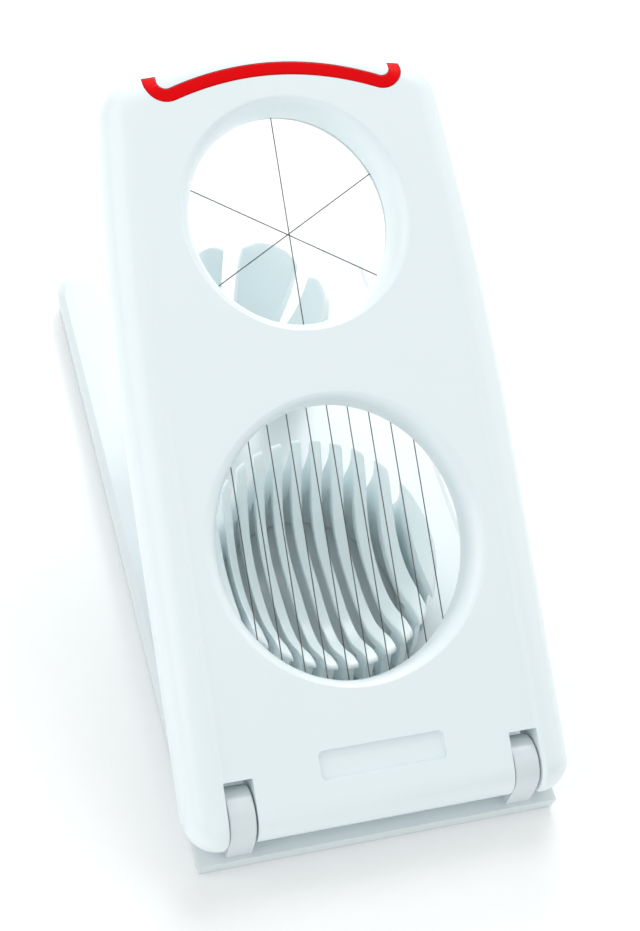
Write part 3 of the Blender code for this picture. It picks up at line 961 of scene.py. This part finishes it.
# ---------------------------------------------------------------- base
@dataclass
class BaseTray:
    """Flat hollow base with a soft top edge, a low ledge under the barrel, two ears and two wells."""

    hinge: HingeFrame
    length: float = 180.2 * MM
    half_width: float = 43.8 * MM
    bow: float = 7.2 * MM
    corner: float = 9.0 * MM
    deck: float = 7.3 * MM
    ledge: float = 3.6 * MM
    wall: float = 2.0 * MM
    floor: float = 1.3 * MM
    ear_centre: float = 33.9 * MM
    ear_width: float = 6.1 * MM
    ear_radius: float = 6.5 * MM
    pin_radius: float = 1.8 * MM
    ear_ease: float = 0.45 * MM
    foot_inset: float = 0.05 * MM
    trench: float = 8.2 * MM
    set_back: float = 0.31 * MM
    draft: float = 0.0009
    side_top: float = 6.0 * MM
    sides: tuple[Point2, ...] = ((0.0, 3.0 * MM), (0.0, 3.0 * MM), (0.12 * MM, 0.55 * MM),
                                 (0.33 * MM, 0.45 * MM), (0.55 * MM, 0.30 * MM))
    well_wall: float = 1.8 * MM
    clear: float = 20 * MM
    cradle_centre: float = 56.6 * MM
    cradle_plug: float = 25.0 * MM
    cradle_stretch: float = 1.062
    cup_centre: float = 130.6 * MM
    cup_plug: float = 15.1 * MM

    def outline(self, near: float) -> Outline:
        """Plan outline from near on."""
        return Outline(near, self.length / 2, lambda _y: self.half_width, self.bow, self.corner)

    def ears(self, tray: bpy.types.Object) -> None:
        """Joins the two upright ears to the tray.

        Args:
            tray: The tray.
        """
        y, z, r = self.hinge.y, self.hinge.z, self.ear_radius
        for side in (-1, 1):
            middle = side * self.ear_centre
            low, high = middle - self.ear_width / 2, middle + self.ear_width / 2
            inset, ease = self.foot_inset, self.ear_ease
            foot = Bench.block("ear_foot", (low + inset, y - r + inset, 0.5 * MM),
                               (high - inset, y + r - inset, z))
            Bench.cut(tray, foot, "UNION")
            stations = [(low, r - ease), (low + ease * 0.3, r - ease * 0.3), (low + ease, r),
                        (high - ease, r), (high - ease * 0.3, r - ease * 0.3), (high, r - ease)]
            Bench.cut(tray, Bench.bar("ear_head", stations, (y, z), 80), "UNION")

    def slab(self, front: float) -> bpy.types.Object:
        """The solid slab: sides that lean out a little and a soft top edge.

        Args:
            front: Place of the front edge.

        Returns:
            The slab.
        """
        tray = Bench.sheet("base_shell", self.outline(front).ring(self.draft), 0.0)
        Bench.grow(tray, self.sides)
        shoulder = self.side_top + 0.1 * MM
        top = max(v.co.z for v in tray.data.vertices)
        for vertex in tray.data.vertices:
            if 1.0 * MM < vertex.co.z < shoulder:
                vertex.co.x *= 1 + self.draft / self.half_width * (vertex.co.z / self.side_top)
                if vertex.co.y > 0:
                    vertex.co.y += self.draft * (vertex.co.z / self.side_top)
            elif vertex.co.z > shoulder:
                vertex.co.z *= self.deck / top
        Bench.outward(tray)
        Bench.facet(tray)
        return tray

    def build(self, material: bpy.types.Material) -> None:
        """Makes and dresses the tray.

        Args:
            material: Its finish.
        """
        front = -self.length / 2 + self.set_back
        tray = self.slab(front)
        shelf = self.hinge.y + self.trench
        Bench.cut(tray, Bench.block("trench", (-80 * MM, front - 10 * MM, self.ledge),
                                    (80 * MM, shelf, 50 * MM)))
        self.ears(tray)
        Bench.cut(tray, Bench.bar("ear_bore", [(-60 * MM, self.pin_radius), (60 * MM, self.pin_radius)],
                                  (self.hinge.y, self.hinge.z), 32))
        hollow = Bench.sheet("base_hollow", self.outline(shelf + self.wall).ring(self.wall + 0.9 * MM),
                             -1 * MM)
        Bench.grow(hollow, [(0.0, self.deck - self.wall + 1 * MM)])
        Bench.outward(hollow)
        wells = ((self.cradle_centre, self.cradle_plug, self.cradle_stretch),
                 (self.cup_centre, self.cup_plug, 1.0))
        for along, radius, stretch in wells:
            size = (radius + self.well_wall, radius * stretch + self.well_wall)
            Bench.bore(hollow, "keep", size, (-2 * MM, self.clear), self.hinge.y + along)
        Bench.cut(tray, hollow)
        for along, radius, stretch in wells:
            Bench.bore(tray, "well", (radius, radius * stretch), (self.floor, 30 * MM), self.hinge.y + along)
        Bench.outward(tray)
        Bench.finish(tray, material, 32.0)
        mount(tray, Body.BASE, Slot.BASE, "base_tray")


# ---------------------------------------------------------------- cradle and cup
def flowing(points: Sequence[Point2], steps: int = 4) -> list[Point2]:
    """Runs a smooth curve through points.

    Args:
        points: The points.
        steps: Pieces between two points.

    Returns:
        The denser curve, with both ends kept.
    """
    out: list[Point2] = []
    last = len(points) - 1
    for i in range(last):
        p0, p1, p2, p3 = (Vector(points[min(max(k, 0), last)]) for k in (i - 1, i, i + 1, i + 2))
        for j in range(steps):
            t = j / steps
            q = 0.5 * (2 * p1 + (p2 - p0) * t + (2 * p0 - 5 * p1 + 4 * p2 - p3) * t * t
                       + (3 * p1 - p0 - 3 * p2 + p3) * t ** 3)
            out.append((q.x, q.y))
    return out + [tuple(points[last])]


def drawn_in(ring: Sequence[Point2], inset: float) -> list[Point2]:
    """Draws a closed, anticlockwise section in on itself.

    Args:
        ring: The section.
        inset: How far each side moves in.

    Returns:
        The smaller section, point for point.
    """
    out: list[Point2] = []
    count = len(ring)
    for i, point in enumerate(ring):
        before = (Vector(point) - Vector(ring[i - 1])).normalized()
        after = (Vector(ring[(i + 1) % count]) - Vector(point)).normalized()
        normal = Vector((-before.y - after.y, before.x + after.x))
        size = normal.length
        if size < 1e-6:
            out.append(tuple(point))
            continue
        normal /= size
        miter = min(1 / max(normal.dot(Vector((-before.y, before.x))), 0.5), 1.4)
        out.append((point[0] + normal.x * inset * miter, point[1] + normal.y * inset * miter))
    return out


def rounding(width: float, radius: float, middle: int) -> list[tuple[float, float]]:
    """Places of the sections across a bar with rounded edges.

    Args:
        width: Width of the bar.
        radius: Radius of its edges.
        middle: Pieces between the rounded edges.

    Returns:
        For each section, its place from one face and how far it is drawn in.
    """
    edge = []
    steps = 4
    for k in range(steps + 1):
        angle = QUARTER * k / steps
        edge.append((radius * (1 - math.cos(angle)), radius * (1 - math.sin(angle))))
    body = [(radius + (width - 2 * radius) * k / middle, 0.0) for k in range(1, middle)]
    return edge + body + [(width - place, inset) for place, inset in reversed(edge)]


def skin(name: str, rings: Sequence[Sequence[Vector]]) -> bpy.types.Object:
    """Skins sections that have the same number of points, and closes both ends.

    Args:
        name: Name of the piece.
        rings: The sections in order.

    Returns:
        The closed solid.
    """
    count = len(rings[0])
    faces: list[tuple[int, ...]] = []
    for k in range(len(rings) - 1):
        for i in range(count):
            j = (i + 1) % count
            faces.append((k * count + i, k * count + j, (k + 1) * count + j, (k + 1) * count + i))
    faces.append(tuple(range(count - 1, -1, -1)))
    faces.append(tuple(range((len(rings) - 1) * count, len(rings) * count)))
    mesh = bpy.data.meshes.new(name)
    mesh.from_pydata([tuple(p) for ring in rings for p in ring], [], faces)
    obj = bpy.data.objects.new(name, mesh)
    bpy.context.scene.collection.objects.link(obj)
    Bench.outward(obj)
    return obj


def joined(name: str, pieces: Sequence[bpy.types.Object]) -> bpy.types.Object:
    """Joins solids into one piece.

    Args:
        name: Name of the piece.
        pieces: The solids.

    Returns:
        The piece.
    """
    Bench.pick(pieces[0])
    for piece in pieces:
        piece.select_set(True)
    bpy.ops.object.join()
    pieces[0].name = pieces[0].data.name = name
    return pieces[0]


@dataclass
class SlicingCradle:
    """Bars that hang as a tipped bowl in a round wall, one slot for each slicing wire."""

    hinge: HingeFrame
    centre: float = 56.6 * MM
    radius: float = 28.6 * MM
    stretch: float = 1.062
    top: float = 29.9 * MM
    drop: float = 10.0 * MM
    bowl: float = 9.8 * MM
    deck: float = 7.3 * MM
    seat: float = 7.6 * MM
    floor: float = 1.6 * MM
    depth: float = 2.5 * MM
    ring_inside: float = 22.4 * MM
    plug: float = 24.7 * MM
    slot: float = 2.3 * MM
    pitch: float = 5.0 * MM
    slots: int = 10
    edge: float = 0.42 * MM
    tuck: float = 0.5 * MM
    bowl_steps: int = 28
    under_steps: int = 24
    shape: tuple[Point2, ...] = (
        (0.0, 0.0), (0.10, 0.001), (0.24, 0.020), (0.378, 0.068), (0.513, 0.190), (0.612, 0.318),
        (0.668, 0.425), (0.747, 0.605), (0.823, 0.798), (0.863, 0.876), (0.909, 0.952))
    finger: tuple[Point2, ...] = (
        (0.932, -0.25), (0.952, 0.0), (0.968, -0.15), (0.978, -0.8), (0.970, -1.5), (0.953, -2.4),
        (0.938, -4.2), (0.942, -7.0), (0.957, -10.0), (0.971, -12.8), (0.982, -18.0), (0.988, -22.3))

    def __post_init__(self) -> None:
        """Prepares the smooth profile."""
        self.curve = flowing(self.shape, 5)

    def surface(self, r: float) -> float:
        """Height of the bowl's surface at a radius, before it is tipped.

        Args:
            r: Distance from the middle of the bowl.

        Returns:
            The height.
        """
        high = self.top - self.bowl
        share = min(r / self.radius, self.shape[-1][0])
        for (ra, ha), (rb, hb) in zip(self.curve, self.curve[1:]):
            if share <= rb:
                return self.bowl + high * (ha + (hb - ha) * (share - ra) / max(rb - ra, 1e-9))
        return self.bowl + high * self.shape[-1][1]

    def under(self, r: float) -> float:
        """Height of the bars' underside at a radius, before it is tipped.

        Args:
            r: Distance from the middle of the bowl.

        Returns:
            The height.
        """
        step = 0.3 * MM
        slope = (self.surface(r + step) - self.surface(max(r - step, 0.0))) / (2 * step)
        return self.surface(r) - self.depth * math.sqrt(1 + min(slope, 1.6) ** 2)

    def tipped(self, height: float, along: float) -> float:
        """Height of a point once the bowl is tipped towards the hinge.

        Args:
            height: Height before.
            along: Place along the base, from the middle of the bowl.

        Returns:
            The height after.
        """
        if height <= self.seat:
            return height
        lift = max(height - self.bowl, 0.0) / (self.top - self.bowl)
        return height - self.drop * lift ** 0.6 * (1 - along / (self.radius * self.stretch)) / 2

    def section(self, x: float) -> list[Point2]:
        """Section of the cradle at x, as (along, up), anticlockwise.

        Args:
            x: Place across, nearer the middle than the inside of the ring.

        Returns:
            The closed section.
        """
        def reach(r: float) -> float:
            """Half length of the oval of that radius at x."""
            return self.stretch * math.sqrt(max(r * r - x * x, 0.0))

        halves = []
        for side in (1, -1):
            tip, inside = reach(self.shape[-1][0] * self.radius), reach(self.ring_inside)
            spread = [tip * k / self.bowl_steps for k in range(self.bowl_steps + 1)]
            row = [(side * y, self.surface(math.hypot(x, y / self.stretch))) for y in spread]
            row += [(side * reach(r * self.radius), self.top + lift * MM) for r, lift in self.finger]
            row += [(side * reach(self.plug), self.seat), (side * reach(self.plug), self.deck - self.tuck),
                    (side * inside, self.deck - self.tuck)]
            spread = [inside * k / self.under_steps for k in range(self.under_steps + 1)]
            row += [(side * y, max(self.under(math.hypot(x, y / self.stretch)), self.seat))
                    for y in spread[::-1]]
            halves.append([(y, self.tipped(z, y)) for y, z in row])
        far, near = halves
        ring = far[:-1] + near[::-1][:-1]
        return ring[::-1]

    def bar(self, index: int) -> bpy.types.Object:
        """One bar between two slots.

        Args:
            index: Which bar, from the left.

        Returns:
            The bar.
        """
        width = self.pitch - self.slot
        left = (index - (self.slots - 2) / 2) * self.pitch - width / 2
        rings = []
        for place, inset in rounding(width, self.edge, 4):
            x = left + place
            rings.append([Vector((x, self.hinge.y + self.centre + y, z))
                          for y, z in drawn_in(self.section(x), inset)])
        return skin("bar", rings)

    def cheek(self, side: int) -> bpy.types.Object:
        """The solid end of the cradle beyond the outermost slot.

        Args:
            side: -1 for the left, 1 for the right.

        Returns:
            The cheek.
        """
        profile = [(r * self.radius, self.top + lift * MM) for r, lift in self.finger[::-1]]
        profile += [(r * self.radius, self.bowl + h * (self.top - self.bowl)) for r, h in self.curve[:20:-1]]
        profile = [(self.plug, self.deck - self.tuck), (self.plug, self.seat)] + profile
        cheek = Bench.stack("cheek", [(r, r * self.stretch, z) for r, z in profile], 0.0)
        for vertex in cheek.data.vertices:
            vertex.co.z = self.tipped(vertex.co.z, vertex.co.y)
        Bench.facet(cheek)
        edge = (self.slots - 1) / 2 * self.pitch + self.slot / 2
        reach = 50 * MM
        low, high = sorted((side * edge, side * 40 * MM))
        Bench.cut(cheek, Bench.block("keep", (low, -reach, 0.0), (high, reach, reach)), "INTERSECT")
        Bench.ease(cheek, 0.25 * MM, 50.0)
        cheek.data.transform(Matrix.Translation((0, self.hinge.y + self.centre, 0)))
        return cheek

    def foot(self) -> bpy.types.Object:
        """The ring that stands in the well of the base.

        Returns:
            The ring, at its place.
        """
        low, high, chamfer = self.floor, self.deck - 0.4 * MM, 0.8 * MM
        size = (self.plug, self.plug * self.stretch)
        foot = Bench.stack("foot", [(size[0] - chamfer, size[1] - chamfer, low), (*size, low + 1 * MM),
                                    (*size, high)], 0.0)
        inside = (self.ring_inside, self.ring_inside * self.stretch)
        Bench.bore(foot, "bore", inside, (-5 * MM, 20 * MM), 0.0)
        foot.data.transform(Matrix.Translation((0, self.hinge.y + self.centre, 0)))
        return foot

    def build(self, material: bpy.types.Material) -> None:
        """Makes and dresses the cradle.

        Args:
            material: Its finish.
        """
        pieces = ([self.foot()] + [self.bar(i) for i in range(self.slots - 1)]
                  + [self.cheek(-1), self.cheek(1)])
        cradle = joined("slicing_cradle_bars", pieces)
        Bench.finish(cradle, material, 38.0)
        mount(cradle, Body.BASE, Slot.CRADLE, "slicing_cradle")


@dataclass
class WedgeCup:
    """Six rounded petals round a cup, with room for the three wedge wires between them."""

    hinge: HingeFrame
    centre: float = 130.6 * MM
    radius: float = 20.8 * MM
    top: float = 33.0 * MM
    bowl: float = 9.8 * MM
    deck: float = 7.3 * MM
    seat: float = 7.6 * MM
    floor: float = 1.6 * MM
    plug: float = 14.8 * MM
    slot: float = 3.8 * MM
    spread: float = 1.35
    dip: float = 0.16
    edge: float = 0.5 * MM
    tuck: float = 0.9 * MM
    chamfer: float = 0.8 * MM
    petals: int = 6
    inside: tuple[Point2, ...] = ((0.24, 0.01), (0.38, 0.045), (0.52, 0.09), (0.62, 0.145), (0.70, 0.22),
                                  (0.81, 0.42), (0.87, 0.68), (0.895, 0.90), (0.905, 0.965), (0.925, 1.0),
                                  (0.955, 0.998), (0.982, 0.975), (0.997, 0.90))
    outside: tuple[Point2, ...] = ((0.997, 0.90), (1.0, 0.78), (0.97, 0.45), (0.90, 0.18), (0.84, 0.0))

    def section(self) -> list[Point2]:
        """Section of a petal, as (out, up), anticlockwise.

        Returns:
            The closed section.
        """
        high = self.top - self.bowl
        inner = [(r * self.radius, self.bowl + h * high) for r, h in flowing(self.inside, 3)]
        outer = [(r * self.radius, self.bowl + h * high) for r, h in flowing(self.outside, 4)][1:]
        lip = [(0.82 * self.radius, self.seat), (self.plug, self.seat), (self.plug, self.deck - self.tuck),
               (inner[0][0], self.deck - self.tuck)]
        return (inner + outer + lip)[::-1]

    def petal(self, index: int) -> bpy.types.Object:
        """One petal.

        Args:
            index: Which petal, anticlockwise from the right.

        Returns:
            The petal.
        """
        half_turn = math.pi / self.petals
        turn = 2 * half_turn * index
        width = 2 * (self.radius * half_turn - self.slot / 2)
        section = self.section()
        rings = []
        for place, inset in rounding(width, self.edge, 10):
            share = 2 * place / width - 1
            ring = []
            for r, z in drawn_in(section, inset):
                gap = self.slot / 2 * (1 + (self.spread - 1) * max(z - self.deck, 0.0)
                                       / (self.top - self.deck))
                angle = share * (half_turn - math.asin(min(gap / max(r, 1e-6), 0.49)))
                corner = (1 - math.cos(self.petals * angle)) / 2
                up = z - self.dip * corner ** 2 * max(z - self.seat, 0.0)
                ring.append(Vector((r * math.cos(angle + turn),
                                    self.hinge.y + self.centre + r * math.sin(angle + turn), up)))
            rings.append(ring)
        return skin("petal", rings)

    def build(self, material: bpy.types.Material) -> None:
        """Makes and dresses the cup.

        Args:
            material: Its finish.
        """
        rings = [(r, r, z) for r, z in ((self.plug - self.chamfer, self.floor),
                                        (self.plug, self.floor + self.chamfer),
                                        (self.plug, self.deck - self.chamfer))]
        foot = Bench.stack("cup_foot", rings, self.hinge.y + self.centre)
        cup = joined("wedge_cup_petals", [foot] + [self.petal(i) for i in range(self.petals)])
        Bench.finish(cup, material, 38.0)
        mount(cup, Body.BASE, Slot.CUP, "wedge_cup")


# ---------------------------------------------------------------- wires
@dataclass
class WireHarp:
    """Thin drawn wires stretched across one opening and held under its rim."""

    hinge: HingeFrame
    prefix: str
    radius: float = 0.14 * MM
    held: float = 3.0 * MM
    tip: float = 0.1 * MM
    cap: float = 0.2 * MM
    count: int = 14

    def ends(self, node: str) -> tuple[Vector, Vector]:
        """Ends of the CAD wire's middle line, in the lid's own frame.

        Args:
            node: The CAD wire.

        Returns:
            Its two ends.
        """
        back = (Matrix.Translation((0, self.hinge.y, self.hinge.z))
                @ Matrix.Rotation(self.hinge.angle, 4, "X")).inverted()
        points = [back @ v.co for v in frame["nodes"][node].data.vertices]
        middle = sum(points, Vector()) / len(points)
        far = max(points, key=lambda p: (p - middle).length)
        axis = (far - middle).normalized()
        spans = [(p - middle).dot(axis) for p in points]
        near = self.middle([p for p, span in zip(points, spans) if span < min(spans) + self.cap])
        far = self.middle([p for p, span in zip(points, spans) if span > max(spans) - self.cap])
        return near, far

    @staticmethod
    def middle(points: list[Vector]) -> Vector:
        """Centre of the box round some points."""
        return Vector([(min(p[i] for p in points) + max(p[i] for p in points)) / 2 for i in range(3)])

    def build(self, material: bpy.types.Material) -> None:
        """Makes and dresses every wire.

        Args:
            material: Their finish.
        """
        for node in sorted(n for n in frame["nodes"] if n.startswith(self.prefix)):
            start, end = self.ends(node)
            run = end - start
            half = run.length / 2
            right = [(half - self.held, self.radius), (half - self.tip, self.radius),
                     (half, self.radius * 0.7)]
            stations = [(-x, r) for x, r in right[::-1]] + right
            wire = Bench.bar(node + "_drawn", stations, (0.0, 0.0), self.count)
            turn = Vector((1, 0, 0)).rotation_difference(run.normalized()).to_matrix().to_4x4()
            wire.data.transform(Matrix.Translation((start + end) / 2) @ turn)
            Bench.finish(wire, material, 50.0)
            self.hinge.swing(wire)
            mount(wire, Body.LID, Slot.WIRE, node)


# ---------------------------------------------------------------- studio
@dataclass(frozen=True)
class SoftBox:
    """One soft light."""

    name: str
    place: Point3
    aim: Point3
    size: Point2
    power: float
    colour: Colour = (1.0, 1.0, 1.0)

    def build(self) -> None:
        """Adds the light."""
        lamp = bpy.data.lights.new(self.name, "AREA")
        lamp.shape = "RECTANGLE"
        lamp.size, lamp.size_y = self.size
        lamp.energy = self.power
        lamp.color = self.colour
        obj = bpy.data.objects.new(self.name, lamp)
        obj.location = self.place
        obj.rotation_euler = (Vector(self.aim) - Vector(self.place)).to_track_quat("-Z", "Y").to_euler()
        bpy.context.scene.collection.objects.link(obj)


@dataclass
class Studio:
    """Pale floor, soft light and the camera."""

    camera_place: Point3 = (-0.118974, -0.238309, 0.371536)
    camera_right: Point3 = (0.950721, -0.264603, 0.161601)
    camera_up: Point3 = (0.121977, 0.798387, 0.589660)
    camera_back: Point3 = (-0.285046, -0.540891, 0.791319)
    lens: float = 68.578
    paper: float = 6.0
    flat: float = 2.0
    roll: float = 0.1
    ambient: float = 0.47
    cool: Colour = (0.95, 0.99, 1.0)

    def camera(self) -> None:
        """Adds the camera."""
        data = bpy.data.cameras.new("studio_camera")
        data.lens = self.lens
        data.sensor_width = 36.0
        data.clip_start = 0.01
        data.clip_end = 50.0
        obj = bpy.data.objects.new("studio_camera", data)
        turn = Matrix((self.camera_right, self.camera_up, self.camera_back)).transposed().to_4x4()
        obj.matrix_world = Matrix.Translation(self.camera_place) @ turn
        bpy.context.scene.collection.objects.link(obj)
        bpy.context.scene.camera = obj

    def floor(self) -> None:
        """Adds the floor: one wide sheet of paper with its edges rolled down."""
        bpy.ops.object.select_all(action="DESELECT")
        bpy.ops.mesh.primitive_grid_add(x_subdivisions=12, y_subdivisions=12, size=self.paper,
                                        location=(0, 0, -0.1 * MM))
        obj = Bench.new("studio_floor")
        for vertex in obj.data.vertices:
            reach = max(abs(vertex.co.x), abs(vertex.co.y)) - self.flat
            if reach > 0:
                vertex.co.z -= self.roll * reach * reach
        Bench.finish(obj, PAPER.build())

    def world(self) -> None:
        """Adds the cool ambient light."""
        world = bpy.data.worlds.new("studio_air")
        world.use_nodes = True
        air = world.node_tree.nodes["Background"]
        air.inputs["Color"].default_value = (*self.cool, 1.0)
        air.inputs["Strength"].default_value = self.ambient
        bpy.context.scene.world = world

    def build(self) -> None:
        """Sets up the whole studio."""
        self.camera()
        self.floor()
        self.world()
        for box in (
            SoftBox("roof_box", (0.0, 0.15, 0.95), (0, 0.05, 0), (1.4, 1.4), 1.45),
            SoftBox("key_box", (0.30, 0.55, 0.75), (0, 0.02, 0.02), (0.38, 0.38), 2.5),
            SoftBox("back_box", (0.18, 0.85, 0.42), (0, 0.0, 0.02), (0.60, 0.40), 3.8),
            SoftBox("right_box", (0.80, 0.05, 0.45), (0, 0.0, 0.02), (0.80, 0.80), 1.6),
            SoftBox("left_box", (-0.80, 0.05, 0.50), (0, 0.0, 0.02), (0.80, 0.80), 2.9),
            SoftBox("front_box", (-0.15, -0.85, 0.34), (0, 0, 0.03), (0.90, 0.60), 1.7, self.cool),
        ):
            box.build()
        bpy.context.scene.view_settings.view_transform = "Standard"


def main() -> None:
    """Builds the slicer piece by piece."""
    logging.basicConfig(level=logging.INFO, format="%(message)s")
    bpy.ops.object.select_all(action="DESELECT")
    hinge = HingeFrame.from_joint(frame["joints"][0])
    Studio().build()
    lid = LidShell(hinge)
    stripe = Stripe(lid)
    lid.build(LID_WHITE.build(), stripe.groove())
    stripe.build(ACCENT_RED.build())
    BaseTray(hinge).build(BASE_WHITE_SHADED.build())
    SlicingCradle(hinge).build(CRADLE_WHITE_LIT.build())
    WedgeCup(hinge).build(CUP_WHITE.build())
    ring_finish, wire_finish, pin_finish = RING_WHITE.build(), WIRE_STEEL.build(), PIN_STEEL.build()
    for prefix in ("slice_wire", "wedge_wire"):
        WireHarp(hinge, prefix).build(wire_finish)
    for node in sorted(frame["nodes"]):
        if "clamp" in node:
            dress(node, ring_finish)
        elif "pin" in node:
            dress(node, pin_finish)


if __name__ == "__main__":
    main()
